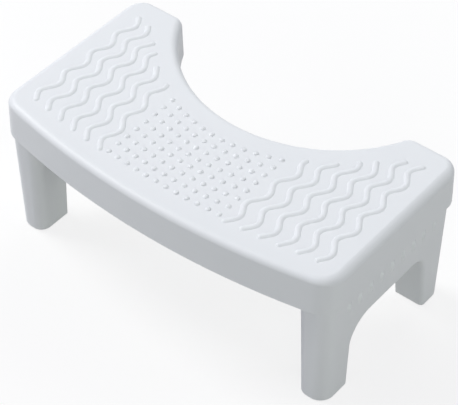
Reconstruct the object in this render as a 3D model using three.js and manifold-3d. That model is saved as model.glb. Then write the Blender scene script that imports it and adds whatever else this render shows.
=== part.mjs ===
// A step stool that stands round the foot of a toilet bowl: a moulded deck on two hollow leg frames,
// each leg with a soft pad under its foot. Millimetres, +Z up, +X along the length, +Y towards the bowl.
// The floor is z = 0 and the origin lies under the middle of the stool.
import * as THREE from 'three';
import { mergeGeometries, mergeVertices, toCreasedNormals } from 'three/addons/utils/BufferGeometryUtils.js';
import Module from 'manifold-3d';

// Overall sizes, at the lower rim of the skirt
const deckLength = 430;
const deckDepth = 243.5;
const standHeight = 181;
const skirtHeight = 45.2;

// Outline of the deck seen from above
const frontArcRadius = 908;
const frontCornerRadius = 27;
const backCornerRadius = 20.7;
const hornCornerRadius = 16;
const hornWidth = 55.8;
const bayDepth = 96;

// Walls of the deck moulding
const edgeRadius = 7.9;
const skirtFlare = 0.9;
const plateWall = 3;
const skirtWall = 2.4;

// Grip pattern on the deck: studs in the middle, wavy ridges on both sides
const studColumns = 12;
const studRows = 8;
const studPitch = 12.97;
const studFrontMargin = 29.9;
const studBackMargin = 28.9;
const studRadius = 3.5;
const studHeight = 1.9;
const studCrownShare = 0.7;
const studFrontBowRadius = 719;
const studBackBowRadius = 168;
const firstRidgeX = 86;
const lastRidgeInset = 30.1;
const ridgeWidth = 6.4;
const ridgeHeight = 1.6;
const ridgeCrestShare = 0.5;
const ridgeNoseShare = 0.4;
const ridgeTipShare = 0.5;
const ridgeSwing = 4.5;
const ridgeWave = 39.9;
const ridgeFirstCrest = 42.9;
const ridgeCrestStep = 3;
const ridgeFrontMargin = 26;
const ridgeLeanShare = 0.109;
const ridgeLeanStart = 59.8;
const ridgeBackShares = [0.6, 0.664, 0.729, 0.775, 0.85, 0.871];
const ridgeCount = ridgeBackShares.length;

// Stiffening ribs under the deck
const ribWall = 2;
const ribDepth = 13;
const ribPitchAlong = 42;
const ribPitchAcross = 36;
const socketWall = 2.4;
const socketRise = 6;
const bearingRibCount = 6;

// Leg frames, measured at the foot
const frameEndInset = 6;
const frameFrontInset = 29.1;
const frameBackInset = 10.6;
const frameThickness = 34.1;
const frontLegWidth = 40.6;
const backLegWidth = 31.7;
const frontOuterCorner = 16.7;
const innerCorner = 12.5;
const backOuterCorner = 12;
const archOuterEdge = 5;
const archInnerEdge = 1;
const footEdgeRadius = 1;
const frameWall = 2.4;
const footFloor = 3;
const archHeight = 85;
const archFrontCorner = 29;
const archBackCorner = 22;
const frameTopDrop = 9;
const shoulderInset = 1.2;
const shoulderRise = 1;
const frameRibWall = 2;
const frameRibCount = 3;
const frameRibDrop = 6;
const outerDraft = THREE.MathUtils.degToRad(0.85);
const innerDraft = THREE.MathUtils.degToRad(1.4);
const endDraft = THREE.MathUtils.degToRad(1);
const archFrontDraft = THREE.MathUtils.degToRad(1);
const archBackDraft = THREE.MathUtils.degToRad(6);

// Locating ribs on the outer face of a leg frame, below the skirt and up behind it
const locatorCount = 9;
const locatorWidth = 7;
const locatorCrestShare = 0.4;
const locatorRoot = 0.5;
const locatorRunOut = 7;
const locatorFirstInset = 32.3;
const locatorLastInset = 28.2;
const locatorBelowSkirt = 28;
const locatorAboveSkirt = 29;

// Snap hooks on the inner face of a leg frame, and the windows that they catch in
const hookWidth = 14;
const hookReach = 1.8;
const hookHeight = 5;
const hookDrop = 16;
const hookPlaceShares = [0.27, 0.73];

// Foot pads
const padStand = 0.7;
const padRadius = 8;
const padSeatDepth = 1.4;
const padStemRadius = 3;
const padBarbRadius = 3.7;
const padBarbHeight = 3;
const padEdge = 0.4;

// Clearance between pieces that seat in each other, overrun of a cut and weld distance of a mesh
const fitGap = 0.3;
const overrun = 5;
const weldDistance = 0.0001;

// Facet counts
const filletSteps = 4;
const smallEdgeSteps = 2;
const cornerSteps = 5;
const frontArcSteps = 18;
const bayArcSteps = 28;
const studSides = 8;
const ridgeStepsPerWave = 7;
const padSides = 14;

// Places that follow from the sizes
const rimZ = standHeight - skirtHeight;
const plateUnderZ = standHeight - plateWall;
const wallTopZ = standHeight - edgeRadius;
const halfLength = deckLength / 2 - skirtFlare;
const frontY = skirtFlare - deckDepth / 2;
const backY = deckDepth / 2 - skirtFlare;
const frontArcY = frontY + frontArcRadius;
const hornX = halfLength - hornWidth;
const bayRadius = (hornX ** 2 + bayDepth ** 2) / (2 * bayDepth) - hornCornerRadius;
const bayY = backY - bayDepth + bayRadius;
const studRowPitch = (backY - bayDepth - frontY - studFrontMargin - studBackMargin) / (studRows - 1);
const ridgePitch = (halfLength - lastRidgeInset - firstRidgeX) / (ridgeCount - 1);

const frameTopZ = standHeight - frameTopDrop;
const footX = deckLength / 2 - frameEndInset;
const innerFootX = footX - frameThickness;
const footFrontY = frameFrontInset - deckDepth / 2;
const footBackY = deckDepth / 2 - frameBackInset;
const frameDepth = footBackY - footFrontY;
const locatorPitch = (frameDepth - locatorFirstInset - locatorLastInset) / (locatorCount - 1);
const shoulderZ = rimZ + shoulderRise;
const tenonInnerX = innerFootX - (shoulderZ - padStand) * Math.tan(innerDraft) + shoulderInset;
const tenonOuterX = footX + (shoulderZ - padStand) * Math.tan(outerDraft) - shoulderInset;
const locatorFaceX = halfLength - skirtWall - fitGap;
const socketWallX = tenonInnerX - fitGap - socketWall;
const archTop = new THREE.Vector2(
  footFrontY + frontLegWidth + (archHeight - padStand) * Math.tan(archFrontDraft),
  footBackY - backLegWidth - (archHeight - padStand) * Math.tan(archBackDraft),
);

const wasm = await Module();
wasm.setup();

// Solids

function toSolid(geometry) {
  const bare = geometry.clone();
  bare.deleteAttribute('normal');
  bare.deleteAttribute('uv');
  const welded = mergeVertices(bare, weldDistance);
  return new wasm.Manifold(new wasm.Mesh({
    numProp: 3,
    vertProperties: new Float32Array(welded.attributes.position.array),
    triVerts: new Uint32Array(welded.index.array),
  }));
}

function toGeometry(solid) {
  const mesh = solid.getMesh();
  const geometry = new THREE.BufferGeometry();
  geometry.setAttribute('position', new THREE.BufferAttribute(new Float32Array(mesh.vertProperties), 3));
  geometry.setIndex(new THREE.BufferAttribute(new Uint32Array(mesh.triVerts), 1));
  return geometry;
}

function joinAll(geometries) {
  return geometries.map(toSolid).reduce((whole, piece) => whole.add(piece));
}

function block(x0, x1, y0, y1, z0, z1) {
  const box = new THREE.BoxGeometry(x1 - x0, y1 - y0, z1 - z0);
  return box.translate((x0 + x1) / 2, (y0 + y1) / 2, (z0 + z1) / 2);
}

// The ring's points seen along the axis that it faces most
function flatten(ring) {
  const normal = new THREE.Vector3();
  ring.forEach((p, i) => normal.add(new THREE.Vector3().crossVectors(p, ring[(i + 1) % ring.length])));
  const size = normal.toArray().map(Math.abs);
  const axis = size.indexOf(Math.max(...size));
  const [u, v] = [['y', 'z'], ['z', 'x'], ['x', 'y']][axis];
  return ring.map((p) => new THREE.Vector2(p[u], p[v]));
}

// Triangles that close a ring, turning the same way as the ring does
function capFaces(ring) {
  const flat = flatten(ring);
  const faces = THREE.ShapeUtils.triangulateShape(flat, []);
  return THREE.ShapeUtils.area(flat) < 0 ? faces.map(([a, b, c]) => [a, c, b]) : faces;
}

// A closed body through a stack of rings with the same number of points,
// each turning anticlockwise seen from the side that the stack rises to
function loft(rings) {
  const count = rings[0].length;
  const last = (rings.length - 1) * count;
  const index = [];
  capFaces(rings[0]).forEach(([a, b, c]) => index.push(a, c, b));
  rings.slice(1).forEach((_, level) => {
    for (let i = 0; i < count; i += 1) {
      const a = level * count + i;
      const b = level * count + (i + 1) % count;
      index.push(a, b, b + count, a, b + count, a + count);
    }
  });
  capFaces(rings.at(-1)).forEach(([a, b, c]) => index.push(last + a, last + b, last + c));
  const geometry = new THREE.BufferGeometry();
  const position = rings.flat().flatMap((p) => p.toArray());
  geometry.setAttribute('position', new THREE.Float32BufferAttribute(position, 3));
  geometry.setIndex(index);
  return geometry;
}

// Outlines

function arc(x, y, radius, from, to, steps) {
  return Array.from({ length: steps + 1 }, (_, i) => {
    const angle = from + (to - from) * i / steps;
    return new THREE.Vector2(x + radius * Math.cos(angle), y + radius * Math.sin(angle));
  });
}

function atHeight(points, z) {
  return points.map((p) => new THREE.Vector3(p.x, p.y, z));
}

// Quarter-round steps: how far the edge still stands out and how far it has risen, as shares
function quarterRound(steps) {
  return Array.from({ length: steps + 1 }, (_, i) => {
    const angle = (Math.PI / 2) * i / steps;
    return { outward: Math.cos(angle), rise: Math.sin(angle) };
  });
}

// The deck seen from above, moved outwards by a distance: front arc, corners, horns and bay
function deckOutline(out) {
  const cornerX = halfLength - frontCornerRadius;
  const cornerY = frontArcY - Math.sqrt((frontArcRadius - frontCornerRadius) ** 2 - cornerX ** 2);
  const frontEnd = Math.atan2(cornerY - frontArcY, cornerX);
  const hornY = backY - hornCornerRadius;
  const bayEnd = Math.atan2(hornY - bayY, hornX);
  const backX = halfLength - backCornerRadius;
  const right = [
    ...arc(0, frontArcY, frontArcRadius + out, -Math.PI / 2, frontEnd, frontArcSteps / 2),
    ...arc(cornerX, cornerY, frontCornerRadius + out, frontEnd, 0, cornerSteps).slice(1),
    ...arc(backX, backY - backCornerRadius, backCornerRadius + out, 0, Math.PI / 2, cornerSteps),
    ...arc(hornX, hornY, hornCornerRadius + out, Math.PI / 2, bayEnd + Math.PI, cornerSteps),
    ...arc(0, bayY, bayRadius - out, bayEnd, -Math.PI / 2, bayArcSteps / 2).slice(1),
  ];
  const left = right.slice(1, -1).reverse().map((p) => new THREE.Vector2(-p.x, p.y));
  return [...right, ...left];
}

// A rectangle with its own radius in each corner, each side moved inwards by a distance
function roundedRectangle({ x0, x1, y0, y1, radii }, inwards) {
  const [a, b, c, d] = radii.map((radius) => Math.max(radius - inwards, footEdgeRadius / 2));
  const left = x0 + inwards;
  const right = x1 - inwards;
  const front = y0 + inwards;
  const back = y1 - inwards;
  const turn = Math.PI / 2;
  return [
    ...arc(left + a, front + a, a, 2 * turn, 3 * turn, cornerSteps),
    ...arc(right - b, front + b, b, 3 * turn, 4 * turn, cornerSteps),
    ...arc(right - c, back - c, c, 0, turn, cornerSteps),
    ...arc(left + d, back - d, d, turn, 2 * turn, cornerSteps),
  ];
}

// Deck

// Plate and skirt in one wall, open below
function deckShell() {
  const inner = quarterRound(filletSteps).reverse().map(({ outward, rise }) => atHeight(
    deckOutline(-edgeRadius + (edgeRadius - skirtWall) * outward),
    wallTopZ + (edgeRadius - plateWall) * rise,
  ));
  const outer = quarterRound(filletSteps).map(({ outward, rise }) => atHeight(
    deckOutline(-edgeRadius * (1 - outward)),
    wallTopZ + edgeRadius * rise,
  ));
  const innerRim = atHeight(deckOutline(skirtFlare - skirtWall), rimZ);
  const outerRim = atHeight(deckOutline(skirtFlare), rimZ);
  return loft([...inner, innerRim, outerRim, ...outer]);
}

// The room that ribs may fill: it ends inside the plate and the skirt
function ribRoom() {
  const top = quarterRound(filletSteps).map(({ outward, rise }) => atHeight(
    deckOutline(-edgeRadius + (edgeRadius - skirtWall / 2) * outward),
    wallTopZ + (edgeRadius - plateWall / 2) * rise,
  ));
  return loft([atHeight(deckOutline(skirtFlare - skirtWall / 2), rimZ), ...top]);
}

// A round-topped stud; the rows bow more towards the back, as the bay does
function stud(column, row) {
  const x = (column - (studColumns - 1) / 2) * studPitch;
  const backShare = row / (studRows - 1);
  const bow = (1 - backShare) / studFrontBowRadius + backShare / studBackBowRadius;
  const y = frontY + studFrontMargin + row * studRowPitch + bow * x * x / 2;
  const profile = [
    new THREE.Vector2(0, -studHeight),
    new THREE.Vector2(studRadius, -studHeight),
    new THREE.Vector2(studRadius, 0),
    new THREE.Vector2(studRadius * studCrownShare, studHeight * studCrownShare),
    new THREE.Vector2(0, studHeight),
  ];
  return new THREE.LatheGeometry(profile, studSides).rotateX(Math.PI / 2).translate(x, y, standHeight);
}

function studs() {
  const columns = [...Array(studColumns).keys()];
  const rows = [...Array(studRows).keys()];
  return mergeGeometries(columns.flatMap((column) => rows.map((row) => stud(column, row))));
}

// The middle line of a wavy ridge, front to back; the inner ridges lean outwards to follow the bay
function ridgePath(number, side) {
  const leanShare = ridgeLeanShare * (1 - number / (ridgeCount - 1));
  const middleX = firstRidgeX + number * ridgePitch;
  const crestY = frontY + ridgeFirstCrest + number * ridgeCrestStep;
  const startY = frontArcY - Math.sqrt(frontArcRadius ** 2 - middleX ** 2) + ridgeFrontMargin;
  const endY = (ridgeBackShares[number] - 1 / 2) * deckDepth;
  const steps = Math.round((endY - startY) / ridgeWave * ridgeStepsPerWave);
  return Array.from({ length: steps + 1 }, (_, i) => {
    const y = startY + (endY - startY) * i / steps;
    const lean = leanShare * (y - frontY - ridgeLeanStart);
    const swing = ridgeSwing * Math.cos(2 * Math.PI * (y - crestY) / ridgeWave);
    return new THREE.Vector2(side * (middleX + lean + swing), y);
  });
}

// A ridge with sloping flanks and rounded ends, rooted in the plate
function ridge(number, side) {
  const path = ridgePath(number, side);
  const half = ridgeWidth / 2;
  const crest = half * ridgeCrestShare;
  const section = [
    [-half, -ridgeHeight],
    [half, -ridgeHeight],
    [half, 0],
    [crest, ridgeHeight],
    [-crest, ridgeHeight],
    [-half, 0],
  ];
  const ring = (middle, ahead, share) => {
    const across = new THREE.Vector2(-ahead.y, ahead.x);
    return section.map(([u, v]) => new THREE.Vector3(
      middle.x + across.x * u * share,
      middle.y + across.y * u * share,
      standHeight + v,
    ));
  };
  const rings = path.map((middle, i) => {
    const from = path[Math.max(i - 1, 0)];
    const to = path[Math.min(i + 1, path.length - 1)];
    return { middle, ahead: to.clone().sub(from).normalize() };
  });
  const nose = (end, way) => {
    const middle = end.middle.clone().addScaledVector(end.ahead, way * ridgeWidth * ridgeNoseShare);
    return ring(middle, end.ahead, ridgeTipShare);
  };
  return loft([
    nose(rings[0], -1),
    ...rings.map(({ middle, ahead }) => ring(middle, ahead, 1)),
    nose(rings.at(-1), 1),
  ].map((points) => points.reverse()).reverse());
}

function ridges() {
  const numbers = [...Array(ridgeCount).keys()];
  return mergeGeometries([-1, 1].flatMap((side) => numbers.map((number) => ridge(number, side))));
}

// Stiffening lattice between the two sockets
function deckRibs() {
  const top = plateUnderZ + plateWall / 2;
  const bottom = plateUnderZ - ribDepth;
  const alongCount = Math.floor(socketWallX / ribPitchAlong);
  const acrossCount = Math.floor(deckDepth / 2 / ribPitchAcross);
  const across = Array.from({ length: 2 * alongCount + 1 }, (_, i) => {
    const x = (i - alongCount) * ribPitchAlong;
    return block(x - ribWall / 2, x + ribWall / 2, -deckDepth, deckDepth, bottom, top);
  });
  const along = Array.from({ length: 2 * acrossCount + 1 }, (_, i) => {
    const y = (i - acrossCount) * ribPitchAcross;
    return block(-socketWallX, socketWallX, y - ribWall / 2, y + ribWall / 2, bottom, top);
  });
  return joinAll([...across, ...along]);
}

function hookPlaces() {
  return hookPlaceShares.map((share) => footFrontY + frameDepth * share);
}

// The inner wall of a socket, with the windows for the hooks
function socketInnerWall(side) {
  const ends = [side * socketWallX, side * (socketWallX + socketWall)].sort((a, b) => a - b);
  const top = plateUnderZ + plateWall / 2;
  const wall = toSolid(block(...ends, -deckDepth, deckDepth, rimZ + socketRise, top));
  const hookTop = frameTopZ - hookDrop + hookHeight;
  return hookPlaces().reduce((left, y) => left.subtract(toSolid(block(
    ends[0] - overrun,
    ends[1] + overrun,
    y - hookWidth / 2 - fitGap,
    y + hookWidth / 2 + fitGap,
    frameTopZ - hookDrop - fitGap,
    hookTop + fitGap,
  ))), wall);
}

// Short ribs over a leg frame, which carry the deck on the frame's top edge
function bearingRibs(side) {
  const ends = [side * socketWallX, side * deckLength / 2].sort((a, b) => a - b);
  const pitch = frameDepth / bearingRibCount;
  const top = plateUnderZ + plateWall / 2;
  return joinAll(Array.from({ length: bearingRibCount }, (_, i) => {
    const y = footFrontY + (i + 1 / 2) * pitch;
    return block(...ends, y - ribWall / 2, y + ribWall / 2, frameTopZ + fitGap, top);
  }));
}

function deck() {
  const room = toSolid(ribRoom());
  const under = [-1, 1]
    .flatMap((side) => [socketInnerWall(side), bearingRibs(side)])
    .reduce((whole, piece) => whole.add(piece), deckRibs())
    .intersect(room);
  return toSolid(deckShell()).add(under).add(toSolid(studs())).add(toSolid(ridges()));
}

// Leg frames, modelled on the right (+X) side

// The four faces of a leg frame at a height; above the shoulder they stand upright
function frameFaces(z) {
  const height = Math.min(z, shoulderZ) - padStand;
  return {
    x0: innerFootX - height * Math.tan(innerDraft),
    x1: footX + height * Math.tan(outerDraft),
    y0: footFrontY - height * Math.tan(endDraft),
    y1: footBackY + height * Math.tan(endDraft),
    radii: [innerCorner, frontOuterCorner, backOuterCorner, innerCorner],
  };
}

function frameColumn() {
  const foot = quarterRound(smallEdgeSteps).reverse().map(({ outward, rise }) => {
    const z = padStand + footEdgeRadius * (1 - rise);
    return atHeight(roundedRectangle(frameFaces(z), footEdgeRadius * (1 - outward)), z);
  });
  return loft([
    ...foot,
    atHeight(roundedRectangle(frameFaces(shoulderZ), 0), shoulderZ),
    atHeight(roundedRectangle(frameFaces(shoulderZ), shoulderInset), shoulderZ),
    atHeight(roundedRectangle(frameFaces(frameTopZ), shoulderInset), frameTopZ),
  ]);
}

function frameHollow() {
  const floor = padStand + footFloor;
  const bend = shoulderZ - frameWall;
  return loft([
    atHeight(roundedRectangle(frameFaces(floor), frameWall), floor),
    atHeight(roundedRectangle(frameFaces(bend), frameWall), bend),
    atHeight(roundedRectangle(frameFaces(shoulderZ), frameWall + shoulderInset), shoulderZ),
    atHeight(roundedRectangle(frameFaces(frameTopZ), frameWall + shoulderInset), frameTopZ + overrun),
  ]);
}

// One side of the arch seen from the end, floor to crown: way is 1 at the back and -1 at the front
function archSide(way, topY, draft, radius, out) {
  const footTopZ = padStand + footEdgeRadius;
  const footY = topY + way * ((archHeight - footTopZ) * Math.tan(draft) + out / Math.cos(draft));
  const foot = quarterRound(smallEdgeSteps).reverse().map(({ outward, rise }) => new THREE.Vector2(
    footY + way * footEdgeRadius * (1 - outward),
    footTopZ - footEdgeRadius * rise,
  ));
  const centreY = topY - way * radius * (1 - Math.sin(draft)) / Math.cos(draft);
  const centreZ = archHeight - radius;
  const corner = arc(0, centreZ, radius + out, draft, Math.PI / 2, cornerSteps)
    .map((p) => new THREE.Vector2(centreY + way * p.x, p.y));
  return [new THREE.Vector2(foot[0].x, -overrun), ...foot, ...corner];
}

// The arch between the legs seen from the end, moved outwards by a distance
function archOutline(out) {
  const back = archSide(1, archTop.y, archBackDraft, archBackCorner, out);
  const front = archSide(-1, archTop.x, archFrontDraft, archFrontCorner, out);
  return [...back, ...front.reverse()];
}

// One half of the arch as a body across the frame, from its middle out past a face (side is -1 for the
// inner face and 1 for the outer one); its mouth is rounded where it meets the face
function archHalf(side, out, mouthRadius, steps) {
  const mouth = quarterRound(steps).map(({ outward, rise }) => ({
    grown: out + mouthRadius * (1 - outward),
    into: mouthRadius * (1 - rise),
  }));
  const sheets = [...mouth, { grown: out + mouthRadius, into: -overrun }];
  return sheets.map(({ grown, into }) => archOutline(grown).map((point) => {
    const faces = frameFaces(Math.max(point.y, padStand));
    const x = side < 0 ? faces.x0 + into : faces.x1 - into;
    return new THREE.Vector3(x, point.x, point.y);
  }));
}

function archCutter(out) {
  const inner = archHalf(-1, out, archInnerEdge, smallEdgeSteps);
  return loft([...inner.reverse(), ...archHalf(1, out, archOuterEdge, filletSteps)]);
}

// Plates across the trough over the arch
function frameRibs() {
  const pitch = (archTop.y - archTop.x) / (frameRibCount + 1);
  return joinAll(Array.from({ length: frameRibCount }, (_, i) => {
    const y = archTop.x + (i + 1) * pitch;
    return block(
      tenonInnerX - overrun,
      tenonOuterX + overrun,
      y - frameRibWall / 2,
      y + frameRibWall / 2,
      archHeight + frameWall / 2,
      frameTopZ - frameRibDrop,
    );
  }));
}

// Upright ribs with sloping flanks that centre the frame behind the skirt; below it they run out
// into the frame's face
function locators() {
  const innerX = tenonOuterX - frameWall / 2;
  const foot = rimZ - locatorBelowSkirt;
  const half = locatorWidth / 2;
  const crest = half * locatorCrestShare;
  const section = (y, z, crestX) => {
    const rootX = frameFaces(z).x1 - locatorRoot;
    const corners = [[innerX, half], [rootX, half], [crestX, crest]];
    const front = corners.map(([x, v]) => new THREE.Vector3(x, y - v, z));
    const back = corners.map(([x, v]) => new THREE.Vector3(x, y + v, z));
    return [...front, ...back.reverse()];
  };
  return joinAll(Array.from({ length: locatorCount }, (_, i) => {
    const y = footFrontY + locatorFirstInset + i * locatorPitch;
    return loft([
      section(y, foot, frameFaces(foot).x1 - locatorRoot / 2),
      section(y, foot + locatorRunOut, locatorFaceX),
      section(y, rimZ + locatorAboveSkirt, locatorFaceX),
    ]);
  }));
}

// A wedge that slides past the socket wall and catches in its window
function hook(y) {
  const foot = frameTopZ - hookDrop;
  const shape = new THREE.Shape([
    new THREE.Vector2(0, foot),
    new THREE.Vector2(hookReach, foot),
    new THREE.Vector2(0, foot + hookHeight),
    new THREE.Vector2(-frameWall / 2, foot + hookHeight),
    new THREE.Vector2(-frameWall / 2, foot),
  ]);
  const wedge = new THREE.ExtrudeGeometry(shape, { depth: hookWidth, bevelEnabled: false });
  return wedge.rotateX(Math.PI / 2).rotateZ(Math.PI).translate(tenonInnerX, y - hookWidth / 2, 0);
}

function padPlaces() {
  const x = innerFootX + frameThickness / 2;
  return { front: [x, footFrontY + frontLegWidth / 2], back: [x, footBackY - backLegWidth / 2] };
}

// The seat of a pad under a foot: a shallow round recess with a hole for the stem
function padSeat([x, y]) {
  const top = padStand + footFloor + overrun;
  const profile = [
    new THREE.Vector2(0, -overrun),
    new THREE.Vector2(padRadius + fitGap, -overrun),
    new THREE.Vector2(padRadius + fitGap, padStand + padSeatDepth),
    new THREE.Vector2(padStemRadius + fitGap, padStand + padSeatDepth),
    new THREE.Vector2(padStemRadius + fitGap, top),
    new THREE.Vector2(0, top),
  ];
  return new THREE.LatheGeometry(profile, padSides).rotateX(Math.PI / 2).translate(x, y, 0);
}

function rightFrame() {
  const column = toSolid(frameColumn());
  const body = column.subtract(toSolid(archCutter(0)));
  const hollow = toSolid(frameHollow()).subtract(toSolid(archCutter(frameWall)));
  const ribs = frameRibs().intersect(body);
  const hooks = joinAll(hookPlaces().map(hook));
  const shell = body.subtract(hollow).add(ribs).add(locators()).add(hooks);
  return Object.values(padPlaces()).reduce((left, place) => left.subtract(toSolid(padSeat(place))), shell);
}

function footPad([x, y]) {
  const shoulder = padStand + padSeatDepth - fitGap;
  const barb = padStand + footFloor + fitGap;
  const profile = [
    new THREE.Vector2(0, 0),
    new THREE.Vector2(padRadius - padEdge, 0),
    new THREE.Vector2(padRadius, padEdge),
    new THREE.Vector2(padRadius, shoulder),
    new THREE.Vector2(padStemRadius, shoulder),
    new THREE.Vector2(padStemRadius, barb),
    new THREE.Vector2(padBarbRadius, barb),
    new THREE.Vector2(padStemRadius / 2, barb + padBarbHeight),
    new THREE.Vector2(0, barb + padBarbHeight),
  ];
  return new THREE.LatheGeometry(profile, padSides).rotateX(Math.PI / 2).translate(x, y, 0);
}

// Materials

function whitePlastic() {
  return new THREE.MeshStandardMaterial({ color: 0xe9ebef, roughness: 0.42, metalness: 0 });
}

function greyRubber() {
  return new THREE.MeshStandardMaterial({ color: 0xb9bcbd, roughness: 0.8, metalness: 0 });
}

// Assembly

function named(name, geometry, material) {
  const mesh = new THREE.Mesh(toCreasedNormals(geometry, Math.PI / 6), material);
  mesh.name = name;
  return mesh;
}

const stool = new THREE.Group();
stool.add(named('deck', toGeometry(deck()), whitePlastic()));
const right = rightFrame();
stool.add(named('right_leg_frame', toGeometry(right), whitePlastic()));
stool.add(named('left_leg_frame', toGeometry(right.mirror([1, 0, 0])), whitePlastic()));
[['left', -1], ['right', 1]].forEach(([sideName, side]) => {
  Object.entries(padPlaces()).forEach(([endName, [x, y]]) => {
    stool.add(named(`${endName}_${sideName}_foot_pad`, footPad([side * x, y]), greyRubber()));
  });
});

export default stool;
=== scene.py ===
# A white toilet footstool: one deck moulding on two arched leg frames, with a soft pad under each foot.
# Lengths are in millimetres, apart from those of the lamps and the camera. Meshes are written in metres.
import math

import bmesh
import bpy
import numpy as np
from mathutils import Matrix, Vector
from mathutils.geometry import delaunay_2d_cdt


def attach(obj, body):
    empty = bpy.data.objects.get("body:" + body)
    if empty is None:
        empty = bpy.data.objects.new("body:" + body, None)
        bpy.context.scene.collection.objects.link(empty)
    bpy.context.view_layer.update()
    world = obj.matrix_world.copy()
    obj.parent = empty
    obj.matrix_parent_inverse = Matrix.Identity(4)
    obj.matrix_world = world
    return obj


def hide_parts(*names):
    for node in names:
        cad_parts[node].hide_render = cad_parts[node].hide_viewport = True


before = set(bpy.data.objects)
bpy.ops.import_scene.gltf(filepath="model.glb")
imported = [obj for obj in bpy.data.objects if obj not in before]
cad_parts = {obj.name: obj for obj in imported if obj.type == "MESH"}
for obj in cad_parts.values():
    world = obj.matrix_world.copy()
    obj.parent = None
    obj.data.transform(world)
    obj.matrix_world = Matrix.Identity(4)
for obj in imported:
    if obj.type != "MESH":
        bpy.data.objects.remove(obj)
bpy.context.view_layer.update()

METRE = 0.001
QUARTER_TURN = math.pi / 2

# Deck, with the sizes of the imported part
DECK_LENGTH = 430
DECK_DEPTH = 243.5
STAND_HEIGHT = 181
SKIRT_HEIGHT = 45.2
FRONT_ARC_RADIUS = 908
FRONT_CORNER_RADIUS = 27
BACK_CORNER_RADIUS = 20.7
HORN_CORNER_RADIUS = 16
HORN_WIDTH = 55.8
BAY_DEPTH = 96
EDGE_RADIUS = 7.9
SKIRT_FLARE = 0.9
PLATE_WALL = 3
SKIRT_WALL = 2.4
RIM_ROUND = 0.5

# The top edge as seen, at the ends and at the front and the bay: how far it reaches in,
# how far it drops, and how flat its middle is (1 is round)
END_EDGE = (9.6, 8.1, 1.25)
FRONT_EDGE = (8.4, 6.8, 0.9)

# Grip pattern
STUD_COLUMNS = 12
STUD_ROWS = 8
STUD_PITCH = 12.97
STUD_FRONT_MARGIN = 29.9
STUD_BACK_MARGIN = 28.9
STUD_RADIUS = 2.9
STUD_HEIGHT = 1.88
STUD_FRONT_BOW_RADIUS = 719
STUD_BACK_BOW_RADIUS = 168
FIRST_RIDGE_X = 86
LAST_RIDGE_INSET = 30.1
RIDGE_WIDTH = 6.9
RIDGE_HEIGHT = 1.65
RIDGE_SWING = 4.5
RIDGE_WAVE = 39.9
RIDGE_FIRST_CREST = 42.9
RIDGE_CREST_STEP = 3
RIDGE_FRONT_MARGIN = 26
RIDGE_LEAN_SHARE = 0.109
RIDGE_LEAN_START = 59.8
RIDGE_BACK_SHARES = [0.6, 0.664, 0.729, 0.775, 0.85, 0.871]
STUD_RING_SHARES = [1, 0.97, 0.91, 0.8, 0.62, 0.36]
RIDGE_RING_SHARES = [1, 0.95, 0.85, 0.7, 0.5, 0.26]

# Ribs and sockets under the deck
RIB_WALL = 2
RIB_DEPTH = 13
RIB_PITCH_ALONG = 42
RIB_PITCH_ACROSS = 36
SOCKET_WALL = 2.4
SOCKET_RISE = 6
BEARING_RIB_COUNT = 6

# Leg frames
FRAME_END_INSET = 6
FRAME_FRONT_INSET = 29.1
FRAME_BACK_INSET = 10.6
FRAME_THICKNESS = 34.1
FRONT_LEG_WIDTH = 40.6
BACK_LEG_WIDTH = 31.7
FRONT_OUTER_CORNER = 16.7
INNER_CORNER = 12.5
BACK_OUTER_CORNER = 12
ARCH_OUTER_EDGE = 5
ARCH_INNER_EDGE = 1
FOOT_EDGE_RADIUS = 1
FRAME_WALL = 2.4
FOOT_FLOOR = 3
ARCH_HEIGHT = 85
ARCH_FRONT_CORNER = 29
ARCH_BACK_CORNER = 22
FRAME_TOP_DROP = 9
SHOULDER_INSET = 1.2
SHOULDER_RISE = 1
FRAME_RIB_COUNT = 3
FRAME_RIB_WALL = 2
FRAME_RIB_DROP = 6
OUTER_DRAFT = math.radians(0.85)
INNER_DRAFT = math.radians(1.4)
END_DRAFT = math.radians(1)
ARCH_FRONT_DRAFT = math.radians(1)
ARCH_BACK_DRAFT = math.radians(6)
LOCATOR_COUNT = 9
LOCATOR_WIDTH = 8.6
LOCATOR_ROOT = 0.3
LOCATOR_RUN_OUT = 7
LOCATOR_SWELL = 2
LOCATOR_SWELL_DROP = 14
LOCATOR_SWELL_REACH = 8.5
LOCATOR_FIRST_INSET = 32.3
LOCATOR_LAST_INSET = 28.2
LOCATOR_BELOW_SKIRT = 28
LOCATOR_ABOVE_SKIRT = 29
HOOK_WIDTH = 14
HOOK_REACH = 1.8
HOOK_HEIGHT = 5
HOOK_DROP = 16
HOOK_PLACE_SHARES = [0.27, 0.73]

# Foot pads
PAD_STAND = 0.7
PAD_RADIUS = 8
PAD_SEAT_DEPTH = 1.4
PAD_STEM_RADIUS = 3
PAD_BARB_RADIUS = 3.7
PAD_BARB_HEIGHT = 3
PAD_EDGE = 0.4

# Between pieces, and how far a cutter passes what it cuts
FIT_GAP = 0.3
OVERRUN = 5

# Mesh steps and tolerances
FILLET_STEPS = 12
RIM_STEPS = 4
CORNER_STEPS = 20
FRONT_STEPS = 60
BAY_STEPS = 96
STUD_SIDES = 20
RIDGE_STEP = 1.6
CAP_STEPS = 8
PAD_SIDES = 64
RIB_LEVELS = 7
LOCATOR_STEPS = 12
LOCATOR_RUN_OUT_LEVELS = 8
LOCATOR_SWELL_LEVELS = 17
LOCATOR_LEVEL_GAP = 0.2
WELD = 0.01
TRIANGLE_TOLERANCE = 1e-4
INSIDE_OUTLINE_ONLY = 1

# Angles in degrees, past which an edge stays sharp
DECK_SHARP_ANGLE = 50
RIB_SHARP_ANGLE = 30
FRAME_SHARP_ANGLE = 40
LOCATOR_SHARP_ANGLE = 60
PAD_SHARP_ANGLE = 40

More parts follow.
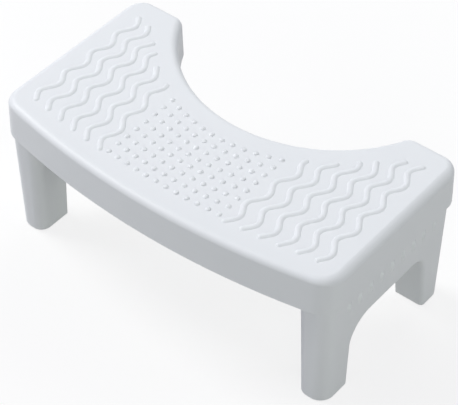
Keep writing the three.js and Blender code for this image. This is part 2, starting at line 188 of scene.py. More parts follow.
# Plastic and rubber: the scale of their textures, and the grain's height in metres
CLOUD_SCALE = 14
CLOUD_DETAIL = 3
GRAIN_DETAIL = 4
GRAIN_ROUGHNESS = 0.6
GRAIN_HEIGHT = 0.0004

# Lamps, in metres: each one's direction from the stool, size, power and colour
LAMP_DISTANCE = 6
LAMP_AIM_HEIGHT = 0.1
LAMPS = {
    "key": ((-0.64, -0.10, 0.76), 2.4, 229, (0.985, 1.0, 0.975)),
    "left": ((-0.8, -0.6, 0.35), 3.0, 48, (0.91, 0.95, 1.0)),
    "front_right": ((0.63, -0.75, 0.28), 3.0, 112, (0.94, 1.0, 0.87)),
    "back_right": ((0.76, 0.55, 0.42), 2.0, 60, (0.93, 1.0, 0.88)),
    "back": ((-0.2, 0.75, 0.66), 4.0, 80, (0.93, 1.0, 0.92)),
}
AMBIENT_COLOUR = (0.75, 0.68, 1.0)
AMBIENT_STRENGTH = 0.215

# Floor, in millimetres: its shade as it lights the stool, and the share that is plain white to the camera
FLOOR_SHADE = 0.3
FLOOR_GLOW_SHARE = 0.8
FLOOR_HALF = 6000
FLOOR_DROP = 0.2

# Camera: focal length and picture in pixels, sensor in millimetres, place in metres, angles in degrees
FOCAL_LENGTH = 1800
PICTURE_WIDTH = 458
SENSOR_WIDTH = 36
CAMERA_PLACE = (0.85262, -1.03565, 1.40849)
CAMERA_ELEVATION = 44.596
CAMERA_AZIMUTH = 39.048

# Places that follow
RIM_Z = STAND_HEIGHT - SKIRT_HEIGHT
PLATE_UNDER_Z = STAND_HEIGHT - PLATE_WALL
WALL_TOP_Z = STAND_HEIGHT - EDGE_RADIUS
HALF_LENGTH = DECK_LENGTH / 2 - SKIRT_FLARE
FRONT_Y = SKIRT_FLARE - DECK_DEPTH / 2
BACK_Y = DECK_DEPTH / 2 - SKIRT_FLARE
FRONT_ARC_Y = FRONT_Y + FRONT_ARC_RADIUS
HORN_X = HALF_LENGTH - HORN_WIDTH
BAY_RADIUS = (HORN_X ** 2 + BAY_DEPTH ** 2) / (2 * BAY_DEPTH) - HORN_CORNER_RADIUS
BAY_Y = BACK_Y - BAY_DEPTH + BAY_RADIUS
STUD_ROW_PITCH = (BACK_Y - BAY_DEPTH - FRONT_Y - STUD_FRONT_MARGIN - STUD_BACK_MARGIN) / (STUD_ROWS - 1)
RIDGE_COUNT = len(RIDGE_BACK_SHARES)
RIDGE_PITCH = (HALF_LENGTH - LAST_RIDGE_INSET - FIRST_RIDGE_X) / (RIDGE_COUNT - 1)
FRAME_TOP_Z = STAND_HEIGHT - FRAME_TOP_DROP
FOOT_X = DECK_LENGTH / 2 - FRAME_END_INSET
INNER_FOOT_X = FOOT_X - FRAME_THICKNESS
FOOT_FRONT_Y = FRAME_FRONT_INSET - DECK_DEPTH / 2
FOOT_BACK_Y = DECK_DEPTH / 2 - FRAME_BACK_INSET
FRAME_DEPTH = FOOT_BACK_Y - FOOT_FRONT_Y
HOOK_Z = FRAME_TOP_Z - HOOK_DROP
LOCATOR_FOOT_Z = RIM_Z - LOCATOR_BELOW_SKIRT
LOCATOR_SWELL_Z = RIM_Z - LOCATOR_SWELL_DROP
LOCATOR_PITCH = (FRAME_DEPTH - LOCATOR_FIRST_INSET - LOCATOR_LAST_INSET) / (LOCATOR_COUNT - 1)
SHOULDER_Z = RIM_Z + SHOULDER_RISE
TENON_INNER_X = INNER_FOOT_X - (SHOULDER_Z - PAD_STAND) * math.tan(INNER_DRAFT) + SHOULDER_INSET
TENON_OUTER_X = FOOT_X + (SHOULDER_Z - PAD_STAND) * math.tan(OUTER_DRAFT) - SHOULDER_INSET
SOCKET_WALL_X = TENON_INNER_X - FIT_GAP - SOCKET_WALL
LOCATOR_FACE_X = HALF_LENGTH - SKIRT_WALL - FIT_GAP
ARCH_FRONT_Y = FOOT_FRONT_Y + FRONT_LEG_WIDTH + (ARCH_HEIGHT - PAD_STAND) * math.tan(ARCH_FRONT_DRAFT)
ARCH_BACK_Y = FOOT_BACK_Y - BACK_LEG_WIDTH - (ARCH_HEIGHT - PAD_STAND) * math.tan(ARCH_BACK_DRAFT)


# Outlines

def arc(x, y, radius, start, end, steps):
    angles = np.linspace(start, end, steps + 1)
    return [(x + radius * math.cos(a), y + radius * math.sin(a)) for a in angles]


def circle(x, y, radius, sides):
    return arc(x, y, radius, 0, 4 * QUARTER_TURN, sides)[:-1]


def quarter_round(steps=FILLET_STEPS):
    """How far the edge still stands out and how far it has risen, as shares of the radius."""
    angles = np.linspace(0, QUARTER_TURN, steps + 1)
    return [(math.cos(a), math.sin(a)) for a in angles]


def deck_outline(out):
    """The deck seen from above, moved outwards by a distance."""
    corner_x = HALF_LENGTH - FRONT_CORNER_RADIUS
    corner_y = FRONT_ARC_Y - math.sqrt((FRONT_ARC_RADIUS - FRONT_CORNER_RADIUS) ** 2 - corner_x ** 2)
    front_end = math.atan2(corner_y - FRONT_ARC_Y, corner_x)
    horn_y = BACK_Y - HORN_CORNER_RADIUS
    bay_end = math.atan2(horn_y - BAY_Y, HORN_X)
    back_x = HALF_LENGTH - BACK_CORNER_RADIUS
    back_y = BACK_Y - BACK_CORNER_RADIUS
    right = (
        arc(0, FRONT_ARC_Y, FRONT_ARC_RADIUS + out, -QUARTER_TURN, front_end, FRONT_STEPS // 2)
        + arc(corner_x, corner_y, FRONT_CORNER_RADIUS + out, front_end, 0, CORNER_STEPS)[1:]
        + arc(back_x, back_y, BACK_CORNER_RADIUS + out, 0, QUARTER_TURN, CORNER_STEPS)
        + arc(HORN_X, horn_y, HORN_CORNER_RADIUS + out, QUARTER_TURN, bay_end + math.pi, CORNER_STEPS)
        + arc(0, BAY_Y, BAY_RADIUS - out, bay_end, -QUARTER_TURN, BAY_STEPS // 2)[1:]
    )
    left = [(-x, y) for x, y in reversed(right[1:-1])]
    return right + left


def rounded_rectangle(faces, inwards):
    """A rectangle with its own radius in each corner, each side moved inwards by a distance."""
    x0, x1, y0, y1, radii = faces
    a, b, c, d = [max(radius - inwards, FOOT_EDGE_RADIUS / 2) for radius in radii]
    left, right, front, back = x0 + inwards, x1 - inwards, y0 + inwards, y1 - inwards
    return (
        arc(left + a, front + a, a, 2 * QUARTER_TURN, 3 * QUARTER_TURN, CORNER_STEPS)
        + arc(right - b, front + b, b, 3 * QUARTER_TURN, 4 * QUARTER_TURN, CORNER_STEPS)
        + arc(right - c, back - c, c, 0, QUARTER_TURN, CORNER_STEPS)
        + arc(left + d, back - d, d, QUARTER_TURN, 2 * QUARTER_TURN, CORNER_STEPS)
    )


def at_height(points, z):
    return [(x, y, z) for x, y in points]


# Meshes

class Shape:
    """Points in millimetres and faces, gathered into one mesh."""

    def __init__(self):
        self.points = []
        self.faces = []

    def ring(self, points):
        """Adds points, and says which ones they are."""
        first = len(self.points)
        self.points += points
        return list(range(first, first + len(points)))

    def strip(self, rings):
        """Walls between rings with the same number of points."""
        loops = [self.ring(points) for points in rings]
        count = len(loops[0])
        for low, high in zip(loops, loops[1:]):
            for i in range(count):
                j = (i + 1) % count
                self.faces.append((low[i], low[j], high[j], high[i]))
        return loops

    def loft(self, rings):
        """A closed body through a stack of rings."""
        loops = self.strip(rings)
        self.faces.append(tuple(reversed(loops[0])))
        self.faces.append(tuple(loops[-1]))

    def block(self, x0, x1, y0, y1, z0, z1):
        base = [(x0, y0), (x1, y0), (x1, y1), (x0, y1)]
        self.loft([at_height(base, z0), at_height(base, z1)])

    def object(self, name, weld=0):
        """The mesh as an object, with points closer than weld joined."""
        mesh = bpy.data.meshes.new(name)
        mesh.from_pydata([[c * METRE for c in p] for p in self.points], [], self.faces)
        mesh.validate()
        if weld:
            work = bmesh.new()
            work.from_mesh(mesh)
            bmesh.ops.remove_doubles(work, verts=work.verts, dist=weld * METRE)
            work.to_mesh(mesh)
            work.free()
        piece = bpy.data.objects.new(name, mesh)
        bpy.context.scene.collection.objects.link(piece)
        return piece


def apply_modifiers(piece):
    """The piece with what its modifiers make of it as its mesh."""
    bpy.context.view_layer.update()
    graph = bpy.context.evaluated_depsgraph_get()
    mesh = bpy.data.meshes.new_from_object(piece.evaluated_get(graph))
    piece.modifiers.clear()
    piece.data = mesh
    return piece


def cut(body, cutter):
    """Takes the room of a second body out of the first. The second is used up."""
    step = body.modifiers.new("cut", "BOOLEAN")
    step.operation = "DIFFERENCE"
    step.solver = "EXACT"
    step.object = cutter
    apply_modifiers(body)
    bpy.data.objects.remove(cutter)
    return body


def smooth(piece, sharp_angle):
    """Soft shading over the rounded edges, with flat faces kept flat."""
    piece.data.shade_smooth()
    piece.data.set_sharp_from_angle(angle=math.radians(sharp_angle))
    weigh = piece.modifiers.new("weigh", "WEIGHTED_NORMAL")
    weigh.mode = "FACE_AREA"
    weigh.keep_sharp = True
    return apply_modifiers(piece)


# Deck

class Relief:
    """Points, lines and heights of the raised pattern, for one triangulation of the deck's top."""

    def __init__(self):
        self.points = []
        self.heights = []
        self.edges = []

    def line(self, points, height, closed=True):
        """A line at one height above the ground."""
        first = len(self.points)
        count = len(points)
        self.points += [Vector(p) for p in points]
        self.heights += [height] * count
        self.edges += [(first + i, first + i + 1) for i in range(count - 1)]
        if closed:
            self.edges.append((first + count - 1, first))


def dome(share):
    """How high a stud is at a share of its radius: a round cap with a steep foot."""
    return math.sqrt(1 - share ** 2)


def low_arch(share):
    """How high a ridge is at a share of its half width."""
    return 1 - share ** 2


def deck_edge(out, rise):
    """A line along the rounded top edge, whose section changes from the ends to the front and the bay."""
    ring = []
    for (x0, y0), (x1, y1) in zip(deck_outline(0), deck_outline(1)):
        # The way the edge faces here: it has the ends' section where it faces along X
        across = x1 - x0
        along = y1 - y0
        end_share = across ** 2
        reach, drop, bend = [e * end_share + f * (1 - end_share) for e, f in zip(END_EDGE, FRONT_EDGE)]
        inwards = reach * (1 - out ** bend)
        z = STAND_HEIGHT - drop * (1 - rise ** bend)
        ring.append((x0 - across * inwards, y0 - along * inwards, z))
    return ring


def add_studs(relief):
    """Studs in columns, whose rows bow more towards the back, as the bay does."""
    for column in range(STUD_COLUMNS):
        for row in range(STUD_ROWS):
            x = (column - (STUD_COLUMNS - 1) / 2) * STUD_PITCH
            back_share = row / (STUD_ROWS - 1)
            bow = (1 - back_share) / STUD_FRONT_BOW_RADIUS + back_share / STUD_BACK_BOW_RADIUS
            y = FRONT_Y + STUD_FRONT_MARGIN + row * STUD_ROW_PITCH + bow * x * x / 2
            for share in STUD_RING_SHARES:
                relief.line(circle(x, y, STUD_RADIUS * share, STUD_SIDES), STUD_HEIGHT * dome(share))
            relief.line([(x, y)], STUD_HEIGHT, closed=False)


def ridge_path(number, side):
    """The middle line of a wavy ridge, front to back."""
    lean_share = RIDGE_LEAN_SHARE * (1 - number / (RIDGE_COUNT - 1))
    middle_x = FIRST_RIDGE_X + number * RIDGE_PITCH
    crest_y = FRONT_Y + RIDGE_FIRST_CREST + number * RIDGE_CREST_STEP
    start_y = FRONT_ARC_Y - math.sqrt(FRONT_ARC_RADIUS ** 2 - middle_x ** 2) + RIDGE_FRONT_MARGIN
    end_y = (RIDGE_BACK_SHARES[number] - 0.5) * DECK_DEPTH
    y = np.linspace(start_y, end_y, round((end_y - start_y) / RIDGE_STEP) + 1)
    lean = lean_share * (y - FRONT_Y - RIDGE_LEAN_START)
    swing = RIDGE_SWING * np.cos(2 * math.pi * (y - crest_y) / RIDGE_WAVE)
    return np.stack([side * (middle_x + lean + swing), y], axis=1)


def around(path, distance):
    """A closed line at a distance round a path, with round ends."""
    ahead = np.gradient(path, axis=0)
    ahead /= np.linalg.norm(ahead, axis=1)[:, None]
    across = np.stack([-ahead[:, 1], ahead[:, 0]], axis=1)
    heading = np.arctan2(ahead[:, 1], ahead[:, 0])
    start = heading[0]
    end = heading[-1]
    front = arc(*path[0], distance, start + QUARTER_TURN, start + 3 * QUARTER_TURN, CAP_STEPS)[1:-1]
    back = arc(*path[-1], distance, end - QUARTER_TURN, end + QUARTER_TURN, CAP_STEPS)[1:-1]
    left = (path + across * distance)[::-1]
    right = path - across * distance
    return [*map(tuple, left), *front, *map(tuple, right), *back]


def add_ridges(relief):
    """Wavy ridges on both sides of the studs."""
    for side in (-1, 1):
        for number in range(RIDGE_COUNT):
            path = ridge_path(number, side)
            for share in RIDGE_RING_SHARES:
                relief.line(around(path, share * RIDGE_WIDTH / 2), RIDGE_HEIGHT * low_arch(share))
            relief.line([tuple(p) for p in path], RIDGE_HEIGHT, closed=False)


def add_top(shape):
    """The deck's top with the pattern, triangulated so that the ground stays flat."""
    relief = Relief()
    relief.line([point[:2] for point in deck_edge(0, 1)], 0)
    add_studs(relief)
    add_ridges(relief)
    points, _, faces, origins, _, _ = delaunay_2d_cdt(
        relief.points, relief.edges, [], INSIDE_OUTLINE_ONLY, TRIANGLE_TOLERANCE,
    )
    first = len(shape.points)
    for point, origin in zip(points, origins):
        rise = relief.heights[origin[0]] if origin else 0
        shape.points.append((point.x, point.y, STAND_HEIGHT + rise))
    shape.faces += [tuple(first + i for i in face) for face in faces]


def spans(outline, axis, value):
    """The stretches of a line across an outline, as pairs of places on the other axis."""
    other = 1 - axis
    hits = []
    for a, b in zip(outline, outline[1:] + outline[:1]):
        if (a[axis] - value) * (b[axis] - value) < 0:
            share = (value - a[axis]) / (b[axis] - a[axis])
            hits.append(a[other] + share * (b[other] - a[other]))
    hits.sort()
    return list(zip(hits[::2], hits[1::2]))


def mid_wall(z):
    """How far inside the deck's outline the middle of its wall lies at a height."""
    if z <= WALL_TOP_Z:
        return -SKIRT_WALL / 2
    rise = min((z - WALL_TOP_Z) / (EDGE_RADIUS - PLATE_WALL / 2), 1)
    return -EDGE_RADIUS + (EDGE_RADIUS - SKIRT_WALL / 2) * math.sqrt(1 - rise ** 2)


def rib_line(shape, axis, value, wall, z0, z1, low=-math.inf, high=math.inf):
    """A rib at one place on an axis. It ends inside the wall of the deck, or at two limits."""
    bends = [z for z in np.linspace(WALL_TOP_Z, PLATE_UNDER_Z + PLATE_WALL / 2, RIB_LEVELS) if z0 < z < z1]
    levels = [(z, spans(deck_outline(mid_wall(z)), axis, value)) for z in (z0, *bends, z1)]
    for stretch in range(min(len(pairs) for _, pairs in levels)):
        starts = [(max(pairs[stretch][0], low), z) for z, pairs in levels]
        ends = [(min(pairs[stretch][1], high), z) for z, pairs in levels]
        if ends[-1][0] - starts[-1][0] < wall:
            continue
        side = [*ends, *reversed(starts)]
        if axis == 0:
            rings = [[(value + half, y, z) for y, z in side] for half in (-wall / 2, wall / 2)]
        else:
            rings = [[(x, value + half, z) for x, z in side] for half in (wall / 2, -wall / 2)]
        shape.loft(rings)


def hook_places():
    """The middles of the snap hooks, front and back."""
    return [FOOT_FRONT_Y + FRAME_DEPTH * share for share in HOOK_PLACE_SHARES]


def add_socket_wall(shape, x, top):
    """The wall beside a leg frame, with a window round each snap hook."""
    low = HOOK_Z - FIT_GAP
    high = HOOK_Z + HOOK_HEIGHT + FIT_GAP
    front, back = hook_places()
    reach = HOOK_WIDTH / 2 + FIT_GAP
    rib_line(shape, 0, x, SOCKET_WALL, RIM_Z + SOCKET_RISE, low)
    rib_line(shape, 0, x, SOCKET_WALL, low, high, high=front - reach)
    rib_line(shape, 0, x, SOCKET_WALL, low, high, front + reach, back - reach)
    rib_line(shape, 0, x, SOCKET_WALL, low, high, low=back + reach)
    rib_line(shape, 0, x, SOCKET_WALL, high, top)


def add_underside(shape):
    """Ribs along and across, the socket walls, and the bearing ribs over the leg frames."""
    top = PLATE_UNDER_Z + PLATE_WALL / 2
    bottom = PLATE_UNDER_Z - RIB_DEPTH
    columns = int(SOCKET_WALL_X // RIB_PITCH_ALONG)
    for i in range(-columns, columns + 1):
        rib_line(shape, 0, i * RIB_PITCH_ALONG, RIB_WALL, bottom, top)
    rows = int(DECK_DEPTH / 2 // RIB_PITCH_ACROSS)
    for i in range(-rows, rows + 1):
        rib_line(shape, 1, i * RIB_PITCH_ACROSS, RIB_WALL, bottom, top, -SOCKET_WALL_X, SOCKET_WALL_X)
    pitch = FRAME_DEPTH / BEARING_RIB_COUNT
    for side in (-1, 1):
        add_socket_wall(shape, side * (SOCKET_WALL_X + SOCKET_WALL / 2), top)
        limits = sorted((side * SOCKET_WALL_X, side * HALF_LENGTH))
        for i in range(BEARING_RIB_COUNT):
            y = FOOT_FRONT_Y + (i + 0.5) * pitch
            rib_line(shape, 1, y, RIB_WALL, FRAME_TOP_Z + FIT_GAP, top, *limits)


def make_deck():
    """The deck's one closed skin, and the ribs below it."""
    shape = Shape()
    rim = quarter_round(RIM_STEPS)
    flare_room = SKIRT_FLARE - SKIRT_WALL
    side_room = EDGE_RADIUS - SKIRT_WALL
    top_room = EDGE_RADIUS - PLATE_WALL
    inner = [
        at_height(deck_outline(-EDGE_RADIUS + side_room * out), WALL_TOP_Z + top_room * rise)
        for out, rise in reversed(quarter_round())
    ]
    inner_rim = [
        at_height(deck_outline(flare_room + RIM_ROUND * (1 - out)), RIM_Z + RIM_ROUND * (1 - rise))
        for out, rise in rim
    ]
    outer_rim = [
        at_height(deck_outline(SKIRT_FLARE - RIM_ROUND * (1 - out)), RIM_Z + RIM_ROUND * (1 - rise))
        for out, rise in reversed(rim)
    ]
    outer = [deck_edge(out, rise) for out, rise in quarter_round()]
    loops = shape.strip([*inner, *inner_rim, *outer_rim, *outer])
    shape.faces.append(tuple(reversed(loops[0])))
    add_top(shape)
    shell = smooth(shape.object("stool_deck", WELD), DECK_SHARP_ANGLE)
    under = Shape()
    add_underside(under)
    return shell, smooth(under.object("stool_deck_ribs"), RIB_SHARP_ANGLE)


# Leg frames, modelled on the right (+X) side

def frame_faces(z):
    """Where the frame's four drafted faces are at a height, and the radii of its corners."""
    height = min(z, SHOULDER_Z) - PAD_STAND
    return (
        INNER_FOOT_X - height * math.tan(INNER_DRAFT),
        FOOT_X + height * math.tan(OUTER_DRAFT),
        FOOT_FRONT_Y - height * math.tan(END_DRAFT),
        FOOT_BACK_Y + height * math.tan(END_DRAFT),
        (INNER_CORNER, FRONT_OUTER_CORNER, BACK_OUTER_CORNER, INNER_CORNER),
    )


def frame_ring(z, inwards):
    return at_height(rounded_rectangle(frame_faces(z), inwards), z)


def frame_column():
    """The frame before its arch and hollow: drafted walls, a shoulder, and the tenon on top."""
    rings = [
        frame_ring(PAD_STAND + FOOT_EDGE_RADIUS * (1 - rise), FOOT_EDGE_RADIUS * (1 - out))
        for out, rise in reversed(quarter_round())
    ]
    rings.append(frame_ring(SHOULDER_Z, 0))
    rings.append(frame_ring(SHOULDER_Z, SHOULDER_INSET))
    rings.append(frame_ring(FRAME_TOP_Z, SHOULDER_INSET))
    shape = Shape()
    shape.loft(rings)
    return shape.object("column")


def frame_hollow():
    """The room inside the frame, open at the top."""
    floor = PAD_STAND + FOOT_FLOOR
    bend = SHOULDER_Z - FRAME_WALL
    mouth = rounded_rectangle(frame_faces(FRAME_TOP_Z), FRAME_WALL + SHOULDER_INSET)
    shape = Shape()
    shape.loft([
        frame_ring(floor, FRAME_WALL),
        frame_ring(bend, FRAME_WALL),
        frame_ring(SHOULDER_Z, FRAME_WALL + SHOULDER_INSET),
        at_height(mouth, FRAME_TOP_Z + OVERRUN),
    ])
    return shape.object("hollow")


def arch_side(way, top_y, draft, radius, out):
    """One side of the arch seen from the end, floor to crown: way is 1 at the back and -1 at the front."""
    foot_top = PAD_STAND + FOOT_EDGE_RADIUS
    foot_y = top_y + way * ((ARCH_HEIGHT - foot_top) * math.tan(draft) + out / math.cos(draft))
    foot = [
        (foot_y + way * FOOT_EDGE_RADIUS * (1 - outward), foot_top - FOOT_EDGE_RADIUS * rise)
        for outward, rise in reversed(quarter_round())
    ]
    centre_y = top_y - way * radius * (1 - math.sin(draft)) / math.cos(draft)
    centre_z = ARCH_HEIGHT - radius
    corner = arc(0, centre_z, radius + out, draft, QUARTER_TURN, CORNER_STEPS)
    return [(foot[0][0], -OVERRUN), *foot, *((centre_y + way * y, z) for y, z in corner)]


def arch_outline(out):
    """The arch seen from the end, grown by a distance."""
    back = arch_side(1, ARCH_BACK_Y, ARCH_BACK_DRAFT, ARCH_BACK_CORNER, out)
    front = arch_side(-1, ARCH_FRONT_Y, ARCH_FRONT_DRAFT, ARCH_FRONT_CORNER, out)
    return back + front[::-1]


def arch_half(side, out, mouth_radius):
    """One half of the arch, from the frame's middle out past a face, with a rounded mouth."""
    mouth = [(out + mouth_radius * (1 - o), mouth_radius * (1 - rise)) for o, rise in quarter_round()]
    rings = []
    for grown, into in [*mouth, (out + mouth_radius, -OVERRUN)]:
        ring = []
        for y, z in arch_outline(grown):
            x0, x1, *_ = frame_faces(max(z, PAD_STAND))
            ring.append((x0 + into if side < 0 else x1 - into, y, z))
        rings.append(ring)
    return rings


def arch_cutter(out):
    """The room of the arch through the frame, grown by a distance."""
    shape = Shape()
    shape.loft([*arch_half(-1, out, ARCH_INNER_EDGE)[::-1], *arch_half(1, out, ARCH_OUTER_EDGE)])
    return shape.object("arch")


def add_frame_details(shape):
    """Plates over the arch, and the snap hooks."""
    pitch = (ARCH_BACK_Y - ARCH_FRONT_Y) / (FRAME_RIB_COUNT + 1)
    inner = TENON_INNER_X + FRAME_WALL / 2
    outer = TENON_OUTER_X - FRAME_WALL / 2
    half = FRAME_RIB_WALL / 2
    bottom = ARCH_HEIGHT + FRAME_WALL / 2
    for i in range(FRAME_RIB_COUNT):
        y = ARCH_FRONT_Y + (i + 1) * pitch
        shape.block(inner, outer, y - half, y + half, bottom, FRAME_TOP_Z - FRAME_RIB_DROP)
    high = HOOK_Z + HOOK_HEIGHT
    root = FRAME_WALL / 2
    side = [(0, HOOK_Z), (-HOOK_REACH, HOOK_Z), (0, high), (root, high), (root, HOOK_Z)]
    for y in hook_places():
        shape.loft([
            [(TENON_INNER_X + x, place, height) for x, height in side]
            for place in (y - HOOK_WIDTH / 2, y + HOOK_WIDTH / 2)
        ])


def round_out(share):
    """A soft rise from 0 to 1."""
    return math.sin(share * QUARTER_TURN) ** 2


def locator_levels():
    """Heights from the foot of the run-out, through the swell, up to the top."""
    run_out = [LOCATOR_RUN_OUT * share for share in np.linspace(0, 1, LOCATOR_RUN_OUT_LEVELS)]
    swell = LOCATOR_SWELL_REACH * np.linspace(-1, 1, LOCATOR_SWELL_LEVELS)
    levels = [LOCATOR_FOOT_Z + rise for rise in run_out]
    swell_start = levels[-1] + LOCATOR_LEVEL_GAP
    levels += [z for z in LOCATOR_SWELL_Z + swell if z > swell_start]
    return [*levels, RIM_Z + LOCATOR_ABOVE_SKIRT]


def locator_ring(middle, z):
    """A locating rib's section at a height: a low round hump on the frame's outer face."""
    inner = TENON_OUTER_X - FRAME_WALL / 2
    half = LOCATOR_WIDTH / 2
    root = frame_faces(z)[1] - LOCATOR_ROOT
    rib_share = round_out(min((z - LOCATOR_FOOT_Z) / LOCATOR_RUN_OUT, 1))
    swell_share = round_out(max(1 - abs(z - LOCATOR_SWELL_Z) / LOCATOR_SWELL_REACH, 0))
    rise = (LOCATOR_FACE_X - root) * rib_share + LOCATOR_SWELL * swell_share
    hump = [
        (root + rise * math.cos(place * QUARTER_TURN) ** 2, middle + place * half, z)
        for place in np.linspace(-1, 1, LOCATOR_STEPS + 1)
    ]
    return [(inner, middle - half, z), *hump, (inner, middle + half, z)]


def add_locators(shape):
    """Ribs that centre the frame behind the skirt, swell below it and run out into the face."""
    levels = locator_levels()
    for i in range(LOCATOR_COUNT):
        middle = FOOT_FRONT_Y + LOCATOR_FIRST_INSET + i * LOCATOR_PITCH
        shape.loft([locator_ring(middle, z) for z in levels])


def mirrored(piece, name):
    """The same piece on the other side."""
    mesh = piece.data.copy()
    mesh.name = name
    mesh.transform(Matrix.Diagonal((-1, 1, 1, 1)))
    mesh.flip_normals()
    twin = bpy.data.objects.new(name, mesh)
    bpy.context.scene.collection.objects.link(twin)
    return twin


def make_right_frame():
    """The moulding, its plates and hooks, and its locating ribs."""
    body = cut(frame_column(), arch_cutter(0))
    hollow = cut(frame_hollow(), arch_cutter(FRAME_WALL))
    body.name = "stool_leg_right"
    cut(body, hollow)
    details = Shape()
    add_frame_details(details)
    locators = Shape()
    add_locators(locators)
    return (
        smooth(body, FRAME_SHARP_ANGLE),
        smooth(details.object("stool_leg_details_right"), RIB_SHARP_ANGLE),
        smooth(locators.object("stool_locators_right"), LOCATOR_SHARP_ANGLE),
    )


# Foot pads

def pad_places():
    """The middles of the right legs' feet."""
    x = INNER_FOOT_X + FRAME_THICKNESS / 2
    return {
        "front": (x, FOOT_FRONT_Y + FRONT_LEG_WIDTH / 2),
        "back": (x, FOOT_BACK_Y - BACK_LEG_WIDTH / 2),
    }


def make_pad(name, x, y):
    """A round pad with a barbed stem."""
    shoulder = PAD_STAND + PAD_SEAT_DEPTH - FIT_GAP
    barb = PAD_STAND + FOOT_FLOOR + FIT_GAP
    edge = [
        (PAD_RADIUS - PAD_EDGE * (1 - out), PAD_EDGE * (1 - rise))
        for out, rise in reversed(quarter_round(RIM_STEPS))
    ]
    profile = [
        *edge,
        (PAD_RADIUS, shoulder),
        (PAD_STEM_RADIUS, shoulder),
        (PAD_STEM_RADIUS, barb),
        (PAD_BARB_RADIUS, barb),
        (PAD_STEM_RADIUS / 2, barb + PAD_BARB_HEIGHT),
    ]
    shape = Shape()
    shape.loft([at_height(circle(x, y, radius, PAD_SIDES), z) for radius, z in profile])
    return smooth(shape.object(name), PAD_SHARP_ANGLE)


# Materials

def node(tree, kind, **values):
    """A shader node with its settings and plain inputs."""
    made = tree.nodes.new(kind)
    for key, value in values.items():
        if hasattr(made, key):
            setattr(made, key, value)
        else:
            made.inputs[key].default_value = value
    return made


def moulded_material(name, colour, tint, roughness, roughness_spread, grain_scale, bump, ior):
    """Moulded plastic or rubber: a fine eroded grain, slow changes of gloss and a faint change of shade."""
    material = bpy.data.materials.new(name)
    material.use_nodes = True
    tree = material.node_tree
    surface = tree.nodes["Principled BSDF"]
    surface.inputs["IOR"].default_value = ior
    place = node(tree, "ShaderNodeTexCoord")
    cloud = node(tree, "ShaderNodeTexNoise", Scale=CLOUD_SCALE, Detail=CLOUD_DETAIL)
    grain = node(
        tree, "ShaderNodeTexNoise", Scale=grain_scale, Detail=GRAIN_DETAIL, Roughness=GRAIN_ROUGHNESS,
    )
    for texture in (cloud, grain):
        tree.links.new(place.outputs["Object"], texture.inputs["Vector"])
    shade = node(tree, "ShaderNodeMix", data_type="RGBA")
    shade.inputs["A"].default_value = (*colour, 1)
    shade.inputs["B"].default_value = (*tint, 1)
    tree.links.new(cloud.outputs["Fac"], shade.inputs["Factor"])
    tree.links.new(shade.outputs["Result"], surface.inputs["Base Color"])
    gloss = node(tree, "ShaderNodeMapRange")
    gloss.inputs["To Min"].default_value = roughness - roughness_spread
    gloss.inputs["To Max"].default_value = roughness + roughness_spread
    tree.links.new(cloud.outputs["Fac"], gloss.inputs["Value"])
    tree.links.new(gloss.outputs["Result"], surface.inputs["Roughness"])
    relief = node(tree, "ShaderNodeBump", Strength=bump, Distance=GRAIN_HEIGHT)
    tree.links.new(grain.outputs["Fac"], relief.inputs["Height"])
    tree.links.new(relief.outputs["Normal"], surface.inputs["Normal"])
    return material


def white_plastic():
    return moulded_material(
        "white_plastic",
        colour=(0.83, 0.845, 0.865),
        tint=(0.81, 0.83, 0.85),
        roughness=0.48,
        roughness_spread=0.05,
        grain_scale=1400,
        bump=0.05,
        ior=1.49,
    )


def pad_rubber():
    return moulded_material(
        "pad_rubber",
        colour=(0.48, 0.49, 0.50),
        tint=(0.44, 0.45, 0.46),
        roughness=0.75,
        roughness_spread=0.06,
        grain_scale=900,
        bump=0.3,
        ior=1.52,
    )


# Room

def seen_rays(tree):
    """1 for what the camera sees straight, in a reflection or through something clear, else 0."""
    path = node(tree, "ShaderNodeLightPath")
    seen = path.outputs["Is Camera Ray"]
    for other in ("Is Glossy Ray", "Is Transmission Ray"):
        either = node(tree, "ShaderNodeMath", operation="MAXIMUM")
        tree.links.new(seen, either.inputs[0])
        tree.links.new(path.outputs[other], either.inputs[1])
        seen = either.outputs[0]
    return seen


def floor_material():
    """A pale floor that the camera sees nearly white, with the stool's shadow on it."""
    material = bpy.data.materials.new("floor")
    material.use_nodes = True
    tree = material.node_tree
    surface = tree.nodes["Principled BSDF"]
    surface.inputs["Roughness"].default_value = 1
    surface.inputs["Specular IOR Level"].default_value = 0
    light = node(tree, "ShaderNodeEmission", Strength=1)
    seen = seen_rays(tree)
    paint = node(tree, "ShaderNodeMix", data_type="RGBA")
    paint.inputs["A"].default_value = (FLOOR_SHADE, FLOOR_SHADE, FLOOR_SHADE, 1)
    paint.inputs["B"].default_value = (1, 1, 1, 1)
    tree.links.new(seen, paint.inputs["Factor"])
    tree.links.new(paint.outputs["Result"], surface.inputs["Base Color"])
    glow = node(tree, "ShaderNodeMath", operation="MULTIPLY")
    glow.inputs[1].default_value = FLOOR_GLOW_SHARE
    tree.links.new(seen, glow.inputs[0])
    mix = node(tree, "ShaderNodeMixShader")
    tree.links.new(glow.outputs[0], mix.inputs["Fac"])
    tree.links.new(surface.outputs["BSDF"], mix.inputs[1])
    tree.links.new(light.outputs["Emission"], mix.inputs[2])
    tree.links.new(mix.outputs["Shader"], tree.nodes["Material Output"].inputs["Surface"])
    return material


def make_floor():
    shape = Shape()
    half = FLOOR_HALF
    shape.points = at_height([(-half, -half), (half, -half), (half, half), (-half, half)], -FLOOR_DROP)
    shape.faces = [(0, 1, 2, 3)]
    floor = shape.object("floor")
    floor.data.materials.append(floor_material())


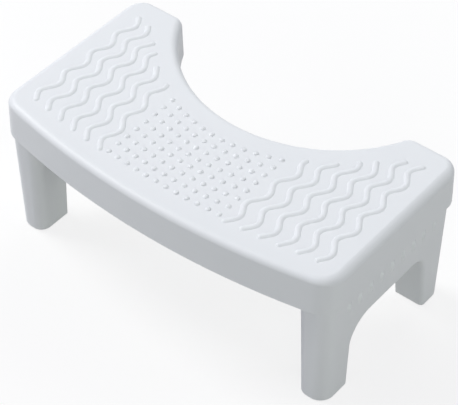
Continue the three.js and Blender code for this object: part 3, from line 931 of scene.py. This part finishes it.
def make_world():
    """A faint ambient light, which the camera sees as plain white."""
    world = bpy.data.worlds.new("room")
    bpy.context.scene.world = world
    world.use_nodes = True
    tree = world.node_tree
    ambient = tree.nodes["Background"]
    ambient.inputs["Color"].default_value = (*AMBIENT_COLOUR, 1)
    ambient.inputs["Strength"].default_value = AMBIENT_STRENGTH
    white = node(tree, "ShaderNodeBackground", Strength=1)
    white.inputs["Color"].default_value = (1, 1, 1, 1)
    mix = node(tree, "ShaderNodeMixShader")
    tree.links.new(seen_rays(tree), mix.inputs["Fac"])
    tree.links.new(ambient.outputs["Background"], mix.inputs[1])
    tree.links.new(white.outputs["Background"], mix.inputs[2])
    tree.links.new(mix.outputs["Shader"], tree.nodes["World Output"].inputs["Surface"])


def add_lamp(name, towards, size, power, colour):
    """A square soft lamp that shines on the stool from a direction."""
    lamp = bpy.data.lights.new(name, "AREA")
    lamp.shape = "SQUARE"
    lamp.size = size
    lamp.energy = power
    lamp.color = colour
    away = Vector(towards).normalized()
    holder = bpy.data.objects.new(name, lamp)
    holder.location = Vector((0, 0, LAMP_AIM_HEIGHT)) + away * LAMP_DISTANCE
    holder.rotation_euler = away.to_track_quat("Z", "Y").to_euler()
    bpy.context.scene.collection.objects.link(holder)


def make_camera():
    """A camera at the photograph's viewing angle."""
    camera = bpy.data.cameras.new("camera")
    camera.sensor_fit = "HORIZONTAL"
    camera.sensor_width = SENSOR_WIDTH
    camera.lens = FOCAL_LENGTH * SENSOR_WIDTH / PICTURE_WIDTH
    holder = bpy.data.objects.new("camera", camera)
    holder.location = CAMERA_PLACE
    holder.rotation_euler = (math.radians(90 - CAMERA_ELEVATION), 0, math.radians(CAMERA_AZIMUTH))
    bpy.context.scene.collection.objects.link(holder)
    bpy.context.scene.camera = holder


# Scene

def dress(piece, material, cad_node):
    """Gives a piece its material, and puts it in the place of a CAD node."""
    piece.data.materials.clear()
    piece.data.materials.append(material)
    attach(piece, "root")
    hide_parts(cad_node)


plastic = white_plastic()
rubber = pad_rubber()

deck, deck_ribs = make_deck()
dress(deck, plastic, "deck")
dress(deck_ribs, plastic, "deck")

for right in make_right_frame():
    left = mirrored(right, right.name.replace("right", "left"))
    dress(right, plastic, "right_leg_frame")
    dress(left, plastic, "left_leg_frame")

for side_name, side in (("left", -1), ("right", 1)):
    for end_name, (x, y) in pad_places().items():
        pad = make_pad(f"stool_pad_{end_name}_{side_name}", side * x, y)
        dress(pad, rubber, f"{end_name}_{side_name}_foot_pad")

make_floor()
make_world()
for lamp_name, (towards, size, power, colour) in LAMPS.items():
    add_lamp(lamp_name, towards, size, power, colour)
make_camera()
bpy.context.scene.view_settings.view_transform = "Standard"
